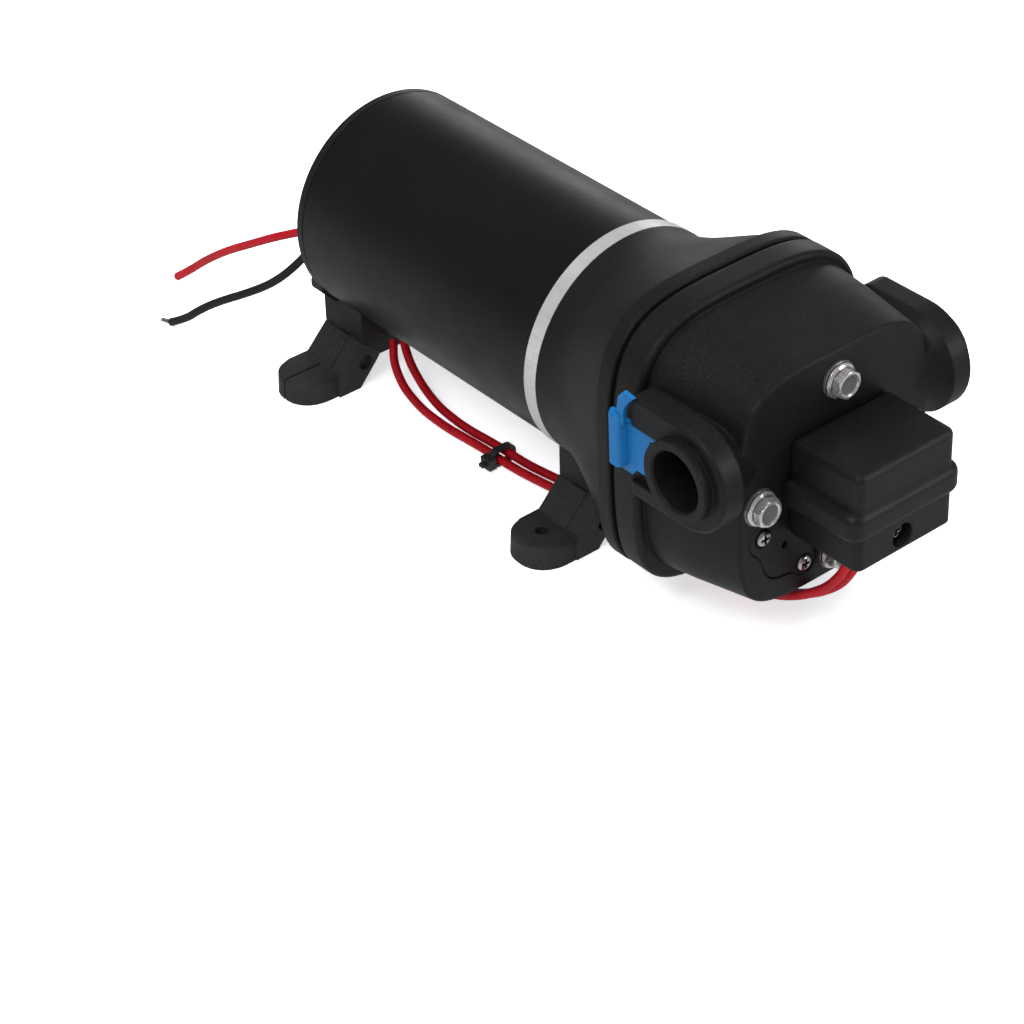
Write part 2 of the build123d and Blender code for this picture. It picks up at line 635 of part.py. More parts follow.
bolts = []
for k, a in enumerate((0, 90, 180, 270)):
    y, z = polar(BOLT_PR, a)
    b = cx(BOLT_R, 141.5, 205.0, y, z)
    f = cx(FLANGE_R, 204.3, 205.1, y, z)
    f = soften(f, f.edges().filter_by(GeomType.CIRCLE).group_by(Axis.X)[-1], [0.3, 0.2])
    b += f
    b += Pos(205.05, y, z) * Rot(0, 90, 0) * Pos(0, 0, 0.3) * Cone(4.9, 4.1, 0.6)
    h = hex_prism(205.0, 208.3, HEX_AF, y, z, 13 + 17 * k)
    lim = cx(4.35, 204.5, 208.3, y, z)
    lim = soften(lim, lim.edges().filter_by(GeomType.CIRCLE).group_by(Axis.X)[-1], [0.7, 0.4])
    b += h & lim
    b -= cx(2.7, 207.9, 210, y, z)
    bolts.append(b)
put("head_bolts", bolts)
washers = []
for a in (0, 90, 180, 270):
    y, z = polar(BOLT_PR, a)
    washers.append(ringx(5.75, BOLT_R + 0.1, FACE_X + 0.02, 204.28, y, z))
put("head_washers", washers)


# ---------------------------------------------------------------- slide clips
def extrude_xz(pts, y0, y1):
    f = make_face(Polyline([Vector(x, y0, z) for x, z in pts], close=True))
    return Solid.extrude(f.faces()[0], Vector(0, y1 - y0, 0))


def clip_solid():
    zc = PORT_Z
    # plate in the channel, with a step in its lower edge and a prong beside the port
    c = extrude_xz([(164.6, 3.0), (172.0, 3.0), (173.6, 5.2), (181.4, 5.2), (181.4, 19.3), (164.6, 19.3)], 45.25, 46.75)
    c -= cy(WALL_R + 0.4, 44, 48, PORT_X - CLIP_TRAVEL, zc)
    c += bx(179.0, 185.1, 45.25, 46.75, zc + 4.9, zc + 6.5)
    # grip rib: a rounded bar, its inner side broader than its crest
    g = extrude_xy([(164.2, 45.3), (170.6, 45.3), (170.4, 47.4), (169.7, 50.2), (166.0, 50.2), (164.6, 48.2)], 5.3, 22.6)
    e = g.edges().filter_by(Axis.Z).group_by(Axis.Y)[-1]
    g = soften(g, e, [1.5, 1.1, 0.7])
    e = g.edges().group_by(Axis.Z)[-1]
    g = soften(g, e, [0.9, 0.6, 0.3])
    e = g.edges().group_by(Axis.Z)[0]
    g = soften(g, e, [0.5, 0.3])
    g -= bx(170.45, 190, 46.75, 47.55, 0, 40)
    # above the channel the rib stands clear of the boss's face, so that it can slide along it
    g -= bx(160, 175, 44, 47.6, 19.45, 30)
    c += g
    # neck and flag-shaped tab above the rib
    n = extrude_xz([(166.6, 19.5), (170.6, 19.5), (171.0, 24.6), (172.0, 26.8), (175.0, 30.2), (171.0, 30.8),
                    (168.7, 28.2), (168.1, 24.4), (167.0, 22.8)], 47.6, 49.0)
    n = soften(n, n.edges().group_by(Axis.Y)[-1], [0.35, 0.2])
    return c + n


cl = clip_solid()
put("slide_clip_left", mirror_y(cl))
put("slide_clip_right", mirror(cl, about=Plane.XY.offset(PORT_Z)))


# ---------------------------------------------------------------- pressure switch
def plan(x0, x1, w0, w1, z0, z1, rb, rf):
    f = extrude_xy([(x0, -w0), (x1, -w1), (x1, w1), (x0, w0)], z0, z1)
    e = f.edges().filter_by(Axis.Z)
    back = e.group_by(Axis.X)[0]
    f = soften(f, back, [rb, rb * 0.7]) if rb > 0 else f
    e = f.edges().filter_by(Axis.Z).group_by(Axis.X)[-1]
    return soften(f, e, [rf, rf * 0.6])


cov = plan(FACE_X, BOX_X1, BOX_W0 + BOX_MORE / 2 - 0.3, BOX_W1 + BOX_MORE / 2, BOX_Z0, BOX_Z1, 1.0, 2.6)
tops = cov.edges().group_by(Axis.Z)[-1]
cov = soften(cov, tops, [2.2, 1.8, 1.2, 0.6])
bots = cov.edges().group_by(Axis.Z)[0]
cov = soften(cov, bots, [0.6, 0.4])
cov = Pos(0, BOX_MORE / 2, 0) * cov
rib = plan(FACE_X, BOX_X1 + RIB_OUT, BOX_W0 + 3.7, BOX_W1 + 3.8, -4.0, 5.4, 1.0, 4.6)
rib = soften(rib, rib.edges().group_by(Axis.Z)[-1], [3.0, 2.4, 1.8, 1.4, 1.0])
rib = soften(rib, rib.edges().group_by(Axis.Z)[0], [3.0, 2.4, 1.8, 1.4, 1.0])
cov += Pos(0, 0.8, 0) * rib
inner = plan(FACE_X - 2, BOX_X1 - 2.0, BOX_W0 - 2.0, BOX_W1 - 2.0, BOX_Z0 + 1.8, BOX_Z1 - 1.8, 0, 1.5)
tower = cx(4.7, 223.8, BOX_X1, HOLE_CY, HOLE_CZ) + cx(3.4, FACE_X - 3, 224.0, HOLE_CY, HOLE_CZ)
tower = tower & bx(FACE_X, BOX_X1, -7, 7, BOX_Z0 + 0.2, -3.0)
inner = inner - tower
cov -= inner
cov -= cx(HOLE_CR, 225.4, 235, HOLE_CY, HOLE_CZ)
cov -= cx(2.05, 200, 235, 0, SCREW_Z)
WIRE_A_END, WIRE_B_END = (220.6, -10.0), (220.6, -6.4)
for x, y in (WIRE_A_END, WIRE_B_END):
    cov -= cz(1.45, -17, -10, x, y)
put("switch_cover", cov)
scs = cx(2.0, FACE_X, 225.5, 0, SCREW_Z) + cx(1.45, 199.8, 203.6, 0, SCREW_Z)
head = cx(3.0, 225.42, 227.5, 0, SCREW_Z)
head = soften(head, head.edges().filter_by(GeomType.CIRCLE).group_by(Axis.X)[-1], [0.9, 0.5])
scs += head
for dy, dz in ((1.9, 0.45), (0.45, 1.9)):
    scs -= bx(226.3, 230, -dy, dy, SCREW_Z - dz, SCREW_Z + dz)
put("switch_cover_screw", scs)

base = cx(9.6, FACE_X, 210.0, 0, SW_Z) - cx(7.2, FACE_X - 1, 208.4, 0, SW_Z) - cx(2.45, 200, 212, 0, SW_Z)
# two posts carry the microswitch
for y in (-11.0, 11.0):
    base += bx(FACE_X, 219.0, y - 1.4, y + 1.4, 1.0, 8.2)
    base += bx(FACE_X, 205.5, min(y, 0), max(y, 0), 2.6, 6.6) - cx(7.2, 200, 208.4, 0, SW_Z)
put("switch_base", base)
put("switch_diaphragm", cx(7.1, FACE_X + 0.02, 204.5, 0, SW_Z))
plg = cx(5.4, 204.55, 205.7, 0, SW_Z) + cx(2.4, 205.6, 212.0, 0, SW_Z)
put("switch_plunger", plg)
put("switch_spring", coil(3.7, 0.3, 2, 2.66, (205.72, 0, SW_Z), "X"))
ms = bx(213.4, 222.4, -9.5, 9.5, 0.0, 9.4)
ms = soften(ms, ms.edges().filter_by(Axis.X), [0.8])
ms -= cx(1.5, 213, 217.0, 0, SW_Z)
for y in (-10.0, -6.4):
    ms += bx(220.2, 221.0, y - 0.8, y + 0.8, -8.3, 0.2)
put("microswitch", ms)
put("microswitch_button", cx(1.4, 212.02, 215.6, 0, SW_Z))

# ---------------------------------------------------------------- base frame and feet
def bar(xc):
    half = [(0, -46.4), (17.0, -46.4), (19.0, -42.6), (23.5, -39.6), (23.2, -25.0), (0, -25.0)]
    pts = half + [(-y, z) for y, z in reversed(half[1:-1])]
    b = extrude_yz(pts, xc - BAR_HW, xc + BAR_HW)
    b -= cx(36.6, xc - 20, xc + 20)
    return b


LUG = (16.0, 23.5, -46.2, -43.6)
fr_b = bar(BAR_XR)
ff_b = bar(BAR_XF)
ff_b -= cx(37.05, 112.6, 118.2)
ff_b -= cx(38.0, 118.1, 126) + cx(39.2, 125.0, 135)
# the bars' faces towards the rear cap and the housing
frame = fr_b + ff_b
spine = bx(BAR_XR + 5, BAR_XF - 5, -8.0, 8.0, -45.0, -39.0)
spine -= bx(20, 104, -5.0, 5.0, -46, -41.0)
frame += spine
for xc in (BAR_XR, BAR_XF):
    for s in (-1, 1):
        l = bx(xc - 4, xc + 4, LUG[0], LUG[1], LUG[2], LUG[3])
        frame += l if s > 0 else mirror_y(l)
for x, y in BASE_SCREWS:
    frame -= cz(1.7, -50, -28, x, y)
    frame -= cz(3.6, -50, -43.6, x, y)
put("base_frame", frame)
bs = []
for x, y in BASE_SCREWS:
    s = cz(1.5, -43.7, -30.5, x, y) + cz(3.3, -46.0, -43.6, x, y)
    s -= bx(x - 2.2, x + 2.2, y - 0.4, y + 0.4, -47, -45.2)
    bs.append(s)
put("base_screws", bs)


def pad_wire(xc, z, grow):
    # straight sides and a rounded outer end
    hw, ye = FOOT_HW + grow, FOOT_END_Y + grow * 0.5
    pts = []
    for i in range(13):
        t = math.pi * i / 12
        c, q = math.cos(t), math.sin(t)
        pts.append(Vector(xc + hw * math.copysign(abs(c) ** (2 / 2.25), c),
                          FOOT_CAP_Y + (ye - FOOT_CAP_Y) * q ** (2 / 2.25), z))
    e = [Edge.make_spline(pts, tangents=[Vector(0, 1, 0), Vector(0, -1, 0)]),
         Edge.make_line(pts[-1], Vector(xc - hw, 24.6, z)),
         Edge.make_line(Vector(xc - hw, 24.6, z), Vector(xc + hw, 24.6, z)),
         Edge.make_line(Vector(xc + hw, 24.6, z), pts[0])]
    return Wire(e)


def foot(xc, side, slit=False):
    bc = xc + (BAR_XF - FOOT_XF if xc > 50 else BAR_XR - FOOT_XR)
    pad = Solid.make_loft([pad_wire(xc, GROUND, FOOT_SPREAD), pad_wire(xc, GROUND + PAD_T, 0.0)], True)
    pad = soften(pad, pad.edges().group_by(Axis.Z)[-1], [0.9, 0.6, 0.3])
    neck = extrude_yz([(34.0, -50.2), (32.0, -48.3), (23.5, -39.75), (19.1, -42.7), (17.1, -46.5),
                       (18.8, -48.6), (25.6, GROUND), (34.0, GROUND)], bc - BAR_HW, bc + BAR_HW)
    neck = neck & bx(xc - FOOT_HW - 0.3, bc + BAR_HW, 10, 60, GROUND, -30)
    f = pad + neck
    # wider rib down the middle of the neck's outer face
    r = extrude_yz([(32.7, -50.0), (32.7, -48.45), (23.9, -39.6), (23.3, -40.2), (30, -50)], bc - 3.2, bc + 3.2)
    f += r
    if slit:
        # this foot has no screw hole; its pad is split from the outer end to the neck
        f -= bx(xc + SLIT_X - 0.3, xc + SLIT_X + 0.3, 33.2, 50.0, GROUND - 1, -40)
    else:
        f -= cz(HOLE_R, GROUND - 1, -40, xc, HOLE_Y)
    f -= bx(bc - 4.05, bc + 4.05, 15.0, LUG[1] + 0.05, LUG[2] - 0.05, LUG[3] + 0.05)
    for s in (-1, 1):
        f -= cx(2.6, bc + s * BAR_HW, bc + s * (BAR_HW - 1.6), 22.8, -47.3)
    return f if side > 0 else mirror_y(f)


put("foot_rear_left", foot(FOOT_XR, -1, True))
put("foot_rear_right", foot(FOOT_XR, 1, True))
put("foot_front_left", foot(FOOT_XF, -1))
put("foot_front_right", foot(FOOT_XF, 1))

# ---------------------------------------------------------------- wires
# grommet in the casing's underside for the two switch wires
wg = cz(5.0, -36.9, -30.0, WG_X, WG_Y) - cx(MOTOR_R, 0, 40)
wg += cz(3.85, -36.9, -30.0, WG_X, WG_Y)
WA0, WB0 = (16.4, -13.9), (20.0, -12.6)
for x, y in (WA0, WB0):
    wg -= cz(WIRE_R, -42, -28, x, y)
put("wire_grommet", wg)

WIRE_A = [(16.4, -13.9, -33.2), (16.4, -13.9, -40.2), (20.2, -17.2, -46.2), (28.0, -19.6, -50.8), (39.0, -21.0, -53.2),
          (53.0, -21.2, -53.7), (68.0, -20.0, -53.5), (84.0, -19.8, -53.6), (99.7, -18.2, -53.1),
          (115.0, -16.3, -52.3), (131.0, -15.2, -52.2), (148.0, -13.4, -51.7), (165.0, -11.8, -52.0),
          (180.0, -10.4, -50.4), (192.0, -10.0, -46.8), (203.0, -10.2, -40.2), (212.0, -10.0, -32.4),
          (218.0, -10.1, -23.6), (220.6, -10.0, -15.6), (220.6, -10.0, -8.4)]
WIRE_B = [(20.0, -12.6, -33.2), (20.0, -12.6, -40.2), (24.2, -13.6, -46.0), (32.4, -15.2, -50.2), (43.0, -17.0, -52.3),
          (57.0, -17.7, -52.8), (72.0, -16.7, -52.4), (87.5, -16.2, -52.6), (102.0, -14.2, -52.1),
          (117.0, -12.8, -51.8), (133.0, -11.6, -51.9), (150.0, -9.8, -51.7), (167.0, -8.0, -52.1),
          (182.0, -6.8, -50.6), (194.0, -6.3, -46.9), (204.6, -6.5, -40.4), (213.4, -6.3, -32.5),
          (218.8, -6.5, -23.4), (220.6, -6.4, -15.4), (220.6, -6.4, -8.4)]
put("switch_wire_a", tube("switch_wire_a", WIRE_A, WIRE_R))
put("switch_wire_b", tube("switch_wire_b", WIRE_B, WIRE_R))

# cable tie round both switch wires
tie_x = 76.5
loop_o = bx(tie_x - 1.25, tie_x + 1.25, -22.7, -13.7, -55.9, -49.9)
loop_o = soften(loop_o, loop_o.edges().filter_by(Axis.X), [2.4, 1.5])
loop_i = bx(tie_x - 2, tie_x + 2, -21.8, -14.6, -55.1, -50.7)
loop_i = soften(loop_i, loop_i.edges().filter_by(Axis.X), [1.6, 1.2])
tie = loop_o - loop_i
tie += bx(tie_x - 2.2, tie_x + 2.2, -25.1, -22.3, -55.2, -51.4)
tie += bx(tie_x - 1.0, tie_x + 1.0, -26.9, -24.9, -53.8, -52.6)
put("cable_tie", tie)

LEAD_RED = [(3.0, LEAD_Y, LEAD_ZR), (-6.5, LEAD_Y, LEAD_ZR), (-15.5, -24.8, -9.9), (-25.0, -28.9, -14.4),
            (-36.5, -30.6, -21.2), (-48.0, -30.9, -28.1), (-59.5, -30.7, -35.8), (-69.5, -30.4, -43.2),
            (-77.0, -30.8, -49.4), (-84.0, -31.6, -54.5)]
LEAD_BLACK = [(3.0, LEAD_Y, LEAD_ZB), (-6.5, LEAD_Y, LEAD_ZB), (-12.6, -22.4, -15.4), (-17.4, -28.0, -23.4),
              (-24.0, -32.4, -30.2), (-32.3, -36.8, -35.6), (-41.4, -42.4, -40.6), (-49.2, -45.5, -46.2),
              (-55.2, -47.7, -51.6), (-61.0, -49.8, -54.5)]
put("lead_red", tube("lead_red", LEAD_RED, WIRE_R))
put("lead_black", tube("lead_black", LEAD_BLACK, WIRE_R))
ends = []
for pts, long in ((LEAD_RED, 0.6), (LEAD_BLACK, 4.2)):
    a, b = Vector(*pts[-2]), Vector(*pts[-1])
    d = Vector(b.X - a.X, b.Y - a.Y, 0).normalized()
    pr = Plane(origin=b, z_dir=d) * Circle(0.75)
    ends.append(Solid.extrude(pr.faces()[0], d * long))
put("lead_strands", ends)

# ---------------------------------------------------------------- write one file per node
for name, node in NODES.items():
    export_step(node, "parts/%s.step" % name)
print(len(NODES), "nodes")
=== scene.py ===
import json
import math
import random

import bmesh
import bpy
from mathutils import Matrix, Vector


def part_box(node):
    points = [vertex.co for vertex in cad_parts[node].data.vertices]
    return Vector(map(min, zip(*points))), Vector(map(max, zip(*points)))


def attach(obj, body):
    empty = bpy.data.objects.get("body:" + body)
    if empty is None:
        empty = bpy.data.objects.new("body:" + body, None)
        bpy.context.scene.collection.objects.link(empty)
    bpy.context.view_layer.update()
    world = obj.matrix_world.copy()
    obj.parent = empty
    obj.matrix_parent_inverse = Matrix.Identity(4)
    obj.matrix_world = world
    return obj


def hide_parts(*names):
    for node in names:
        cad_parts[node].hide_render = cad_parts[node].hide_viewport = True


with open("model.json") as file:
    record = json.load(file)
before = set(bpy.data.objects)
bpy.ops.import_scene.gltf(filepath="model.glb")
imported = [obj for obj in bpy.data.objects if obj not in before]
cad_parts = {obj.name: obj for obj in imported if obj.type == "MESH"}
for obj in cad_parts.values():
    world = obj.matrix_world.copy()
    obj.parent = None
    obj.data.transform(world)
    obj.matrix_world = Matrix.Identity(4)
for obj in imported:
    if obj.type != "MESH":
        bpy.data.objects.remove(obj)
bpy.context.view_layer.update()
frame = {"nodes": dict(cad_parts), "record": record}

D = bpy.data
SCN = bpy.context.scene
NODE = frame["nodes"]
random.seed(7)

# working frame of the dimensions below: x from the motor's rear rim, y and z from its axis, mm
XC = 112.2
_lo, _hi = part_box("motor_casing")
AXIS_Z = (_lo.z + _hi.z) / 2.0


def L(x, y, z):
    return Vector(((x - XC) / 1000.0, y / 1000.0, z / 1000.0 + AXIS_Z))


# ------------------------------------------------------------------ camera
AZ, EL, ROLL, F_PX = 52.28, 35.95, -2.77, 2990.0
a, e, r = math.radians(AZ), math.radians(EL), math.radians(ROLL)
back = Vector((math.sin(a) * math.cos(e), -math.cos(a) * math.cos(e), math.sin(e)))
right = Vector((0, 0, 1)).cross(back).normalized()
up = back.cross(right)
right2 = math.cos(r) * right + math.sin(r) * up
up2 = -math.sin(r) * right + math.cos(r) * up
cam_data = D.cameras.new("camera")
cam_data.sensor_width = 36.0
cam_data.lens = 36.0 * F_PX / 1024.0
cam_data.clip_start, cam_data.clip_end = 0.05, 20.0
cam = D.objects.new("camera", cam_data)
m = Matrix((right2, up2, back)).transposed().to_4x4()
m.translation = L(682.2, -484.0, 478.9)
cam.matrix_world = m
SCN.collection.objects.link(cam)
SCN.camera = cam

# ------------------------------------------------------------------ free cords
LEAD_Y, LEAD_ZR, LEAD_ZB = -20.0, -6.2, -10.6
RED_PTS = [(3.0, LEAD_Y, LEAD_ZR), (-6.5, LEAD_Y, LEAD_ZR), (-15.5, -24.8, -9.9), (-25.0, -28.9, -14.4),
           (-36.5, -30.6, -21.2), (-48.0, -30.9, -28.1), (-59.5, -30.7, -35.8), (-69.5, -30.4, -43.2),
           (-77.0, -30.8, -49.4), (-84.0, -31.6, -54.5)]
BLACK_PTS = [(3.0, LEAD_Y, LEAD_ZB), (-6.5, LEAD_Y, LEAD_ZB), (-12.6, -22.4, -15.4), (-17.4, -28.0, -23.4),
             (-24.0, -32.4, -30.2), (-32.3, -36.8, -35.6), (-41.4, -42.4, -40.6), (-49.2, -45.5, -46.2),
             (-55.2, -47.7, -51.6), (-61.0, -49.8, -54.5)]
WIRE_D = 0.0028


def link(o):
    SCN.collection.objects.link(o)
    return o


def nurbs(name, pts, diameter, res=12):
    c = D.curves.new(name, "CURVE")
    c.dimensions = "3D"
    c.bevel_depth = 1.0  # times each point's radius, so that the curve's box fits its tube
    c.bevel_resolution = 6
    c.resolution_u = res
    c.use_fill_caps = True
    sp = c.splines.new("NURBS")
    sp.points.add(len(pts) - 1)
    for p, q in zip(sp.points, pts):
        p.co = (*L(*q), 1.0)
        p.radius = diameter / 2.0
    sp.order_u = 3
    sp.use_endpoint_u = True
    return link(D.objects.new(name, c))


red = nurbs("red_lead", RED_PTS, WIRE_D)
black = nurbs("black_lead", BLACK_PTS, WIRE_D)


def strand_bundle(name, pts, length, spread, seed, n=19, stray=0):
    # a twisted bundle of fine bare strands lying flat out of the end of a lead
    rnd = random.Random(seed)
    b = L(*pts[-1])
    t = b - L(*pts[-2])
    t.z = 0.0
    t.normalize()
    side = t.cross(Vector((0, 0, 1))).normalized()
    top = side.cross(t)
    bm = bmesh.new()
    wire = 0.00012
    spots = [(0.0, 0.0)] + [(0.00026, k * 60.0) for k in range(6)] + [(0.00052, k * 30.0 + 8) for k in range(12)]
    for k, (rad, ang) in enumerate(spots[:n]):
        steps = 10
        l = length * rnd.uniform(0.80, 1.0)
        twist = math.radians(ang)
        fray = rnd.uniform(0.0, 1.0) * spread
        kink = rnd.uniform(-1, 1) * spread
        loose = k >= n - stray
        ring_prev = None
        for i in range(steps + 1):
            u = i / steps
            th = twist + 1.9 * u
            rr = min(rad * (1 + fray * u * u), 0.00060)
            c = b - t * 0.0009 + t * ((l + 0.0009) * u) + (side * math.cos(th) + top * math.sin(th)) * rr
            c += side * (0.00012 * kink * math.sin(5 * u))
            if loose:
                # one strand has sprung away and curls back
                c = b - t * 0.0009 + t * ((l * 0.7 + 0.0009) * math.sin(1.9 * u)) + top * (0.0011 * u * u) - side * (0.0009 * u)
            c.z = max(c.z, 0.00016)
            ring = [bm.verts.new(c + (side * math.cos(q * math.pi / 3) + top * math.sin(q * math.pi / 3)) * wire)
                    for q in range(6)]
            if ring_prev:
                for q in range(6):
                    bm.faces.new((ring_prev[q], ring_prev[(q + 1) % 6], ring[(q + 1) % 6], ring[q]))
            else:
                bm.faces.new(ring[::-1])
            ring_prev = ring
        bm.faces.new(ring_prev)
    me = D.meshes.new(name)
    bm.to_mesh(me)
    bm.free()
    me.shade_smooth()
    return link(D.objects.new(name, me))


red_strands = strand_bundle("red_lead_strands", RED_PTS, 0.0005, 0.0, 3)
black_strands = strand_bundle("black_lead_strands", BLACK_PTS, 0.0041, 1.0, 5, stray=1)
for o in (red, black, red_strands, black_strands):
    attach(o, "pump")
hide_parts("lead_red")
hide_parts("lead_black")
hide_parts("lead_strands")


# ------------------------------------------------------------------ material kit
class Mat:
    # a Principled material put together from procedural nodes in the object's own space
    def __init__(self, name, color, metallic=0.0, rough=0.5, **sockets):
        self.m = D.materials.new(name)
        self.m.use_nodes = True
        self.t = self.m.node_tree
        self.b = self.t.nodes["Principled BSDF"]
        self.b.inputs["Base Color"].default_value = (*color, 1)
        self.b.inputs["Metallic"].default_value = metallic
        self.b.inputs["Roughness"].default_value = rough
        for k, v in sockets.items():
            self.b.inputs[k.replace("_", " ")].default_value = v
        self.co = self.n("ShaderNodeTexCoord").outputs["Object"]
        self.color, self.rough, self.normal = None, None, None
        self.c0, self.r0 = color, rough

    def n(self, kind, **kw):
        x = self.t.nodes.new(kind)
        for k, v in kw.items():
            setattr(x, k, v)
        return x

    def wire(self, src, dst):
        self.t.links.new(src, dst)

    def scaled(self, sx, sy, sz, rot=(0, 0, 0)):
        mp = self.n("ShaderNodeMapping")
        mp.inputs["Scale"].default_value = (sx, sy, sz)
        mp.inputs["Rotation"].default_value = rot
        self.wire(self.co, mp.inputs["Vector"])
        return mp.outputs["Vector"]

    def noise(self, scale, detail=4.0, rough=0.6, co=None, distortion=0.0):
        x = self.n("ShaderNodeTexNoise")
        x.inputs["Scale"].default_value = scale
        x.inputs["Detail"].default_value = detail
        x.inputs["Roughness"].default_value = rough
        x.inputs["Distortion"].default_value = distortion
        self.wire(co or self.co, x.inputs["Vector"])
        return x.outputs["Fac"]

    def cells(self, scale, feature="F1", co=None, out="Distance"):
        x = self.n("ShaderNodeTexVoronoi", feature=feature)
        x.inputs["Scale"].default_value = scale
        self.wire(co or self.co, x.inputs["Vector"])
        return x.outputs[out]

    def ramp(self, src, a0, a1, v0=0.0, v1=1.0):
        x = self.n("ShaderNodeMapRange", clamp=True)
        for k, v in (("From Min", a0), ("From Max", a1), ("To Min", v0), ("To Max", v1)):
            x.inputs[k].default_value = v
        self.wire(src, x.inputs["Value"])
        return x.outputs["Result"]

    def mul(self, p, q):
        x = self.n("ShaderNodeMath", operation="MULTIPLY")
        self.wire(p, x.inputs[0])
        if isinstance(q, (int, float)):
            x.inputs[1].default_value = q
        else:
            self.wire(q, x.inputs[1])
        return x.outputs[0]

    def add(self, p, q):
        x = self.n("ShaderNodeMath", operation="ADD")
        self.wire(p, x.inputs[0])
        if isinstance(q, (int, float)):
            x.inputs[1].default_value = q
        else:
            self.wire(q, x.inputs[1])
        return x.outputs[0]

    def tint(self, fac, color):
        # mixes another colour in where fac is high
        x = self.n("ShaderNodeMix", data_type="RGBA")
        self.wire(fac, x.inputs[0])
        if self.color is None:
            x.inputs[6].default_value = (*self.c0, 1)
        else:
            self.wire(self.color, x.inputs[6])
        x.inputs[7].default_value = (*color, 1)
        self.color = x.outputs[2]
        return self

    def gloss(self, fac, rough):
        # moves the roughness towards a value where fac is high
        x = self.n("ShaderNodeMix", data_type="FLOAT")
        self.wire(fac, x.inputs[0])
        if self.rough is None:
            x.inputs[2].default_value = self.r0
        else:
            self.wire(self.rough, x.inputs[2])
        x.inputs[3].default_value = rough
        self.rough = x.outputs[0]
        return self

    def bump(self, height, depth, strength=1.0):
        x = self.n("ShaderNodeBump")
        x.inputs["Strength"].default_value = strength
        x.inputs["Distance"].default_value = depth
        self.wire(height, x.inputs["Height"])
        if self.normal is not None:
            self.wire(self.normal, x.inputs["Normal"])
        self.normal = x.outputs["Normal"]
        return self

    def round(self, radius):
        # start of the normal chain: softened edges
        x = self.n("ShaderNodeBevel", samples=4)
        x.inputs["Radius"].default_value = radius
        self.bev = x.outputs["Normal"]
        self.normal = self.bev
        return self

    def edge(self, radius=0.0007, lo=0.03, hi=0.35):
        # 1 on edges, 0 on flats
        x = self.n("ShaderNodeBevel", samples=4)
        x.inputs["Radius"].default_value = radius
        g = self.n("ShaderNodeNewGeometry")
        d = self.n("ShaderNodeVectorMath", operation="DOT_PRODUCT")
        self.wire(x.outputs["Normal"], d.inputs[0])
        self.wire(g.outputs["Normal"], d.inputs[1])
        return self.ramp(d.outputs["Value"], 1.0 - lo, 1.0 - hi)

    def done(self):
        if self.color is not None:
            self.wire(self.color, self.b.inputs["Base Color"])
        if self.rough is not None:
            self.wire(self.rough, self.b.inputs["Roughness"])
        if self.normal is not None:
            self.wire(self.normal, self.b.inputs["Normal"])
        return self.m


M = {}


def m_motor_paint():
    k = Mat("motor_paint", (0.0016, 0.0016, 0.0017), 0.0, 0.36, Specular_IOR_Level=0.46)
    k.tint(k.ramp(k.noise(35, 3), 0.35, 0.7, 0.0, 0.6), (0.0030, 0.0030, 0.0031))
    k.tint(k.mul(k.ramp(k.cells(700), 0.09, 0.03), k.ramp(k.noise(60, 2), 0.5, 0.68)), (0.03, 0.03, 0.03))
    k.tint(k.ramp(k.noise(900, 3, 0.6), 0.52, 0.74, 0.0, 0.6), (0.0052, 0.0052, 0.0053))
    k.gloss(k.ramp(k.noise(60, 5), 0.35, 0.7), 0.47)
    k.gloss(k.ramp(k.noise(9, 4, co=k.scaled(1.0, 3.0, 3.0)), 0.5, 0.75), 0.36)
    k.round(0.0003)
    k.bump(k.noise(1400, 3), 0.00002, 0.6)
    k.bump(k.noise(380, 2), 0.00002, 0.3)
    return k.done()


def m_head_plastic(name="head_plastic", tone=1.0, rough=0.48, soft=0.0010, level=0.31):
    c = 0.0037 * tone
    k = Mat(name, (c, c, c * 1.03), 0.0, rough, Specular_IOR_Level=level)
    k.tint(k.ramp(k.noise(28, 4), 0.35, 0.72, 0.0, 0.7), (c * 1.7, c * 1.7, c * 1.74))
    # rubbed patches and pale scuffs
    scuff = k.mul(k.ramp(k.noise(160, 6, 0.75, distortion=0.8), 0.62, 0.72), k.ramp(k.noise(22, 3), 0.54, 0.70))
    k.tint(k.mul(scuff, 0.45), (0.030, 0.030, 0.031))
    # pale specks: dust specks and painted glints of the glass fibres
    dust_and_glint_specks = k.mul(k.ramp(k.cells(560), 0.075, 0.02), k.ramp(k.noise(55, 2), 0.52, 0.68))
    k.tint(k.mul(dust_and_glint_specks, 0.8), (0.16, 0.16, 0.16))
    # lighter edges: rubbed wear and a painted edge highlight
    edge_wear_and_highlight = k.mul(k.edge(0.0006, 0.04, 0.45), k.ramp(k.noise(230, 5, 0.7), 0.46, 0.70))
    k.tint(k.mul(edge_wear_and_highlight, 0.5), (0.040, 0.040, 0.041))
    k.gloss(k.ramp(k.noise(75, 5), 0.35, 0.7), rough - 0.07)
    k.gloss(scuff, rough + 0.12)
    grain = k.noise(1900, 2, 0.5)
    k.tint(k.ramp(grain, 0.46, 0.70, 0.0, 0.5), (c * 2.4, c * 2.4, c * 2.45))
    k.tint(k.ramp(k.noise(820, 3, 0.65), 0.50, 0.72, 0.0, 0.5), (c * 2.3, c * 2.3, c * 2.35))
    k.round(soft)
    k.bump(grain, 0.00004, 0.75)
    k.bump(k.noise(700, 3), 0.000022, 0.45)
    return k.done()


def m_simple(name, color, color2, metallic, rough, rough2, scale, bump_scale, bump_depth, **kw):
    k = Mat(name, color, metallic, rough, **kw)
    k.tint(k.ramp(k.noise(scale, 5), 0.35, 0.7), color2)
    k.gloss(k.ramp(k.noise(scale * 2.3, 5), 0.35, 0.7), rough2)
    k.bump(k.noise(bump_scale, 3), bump_depth, 0.7)
    return k.done()


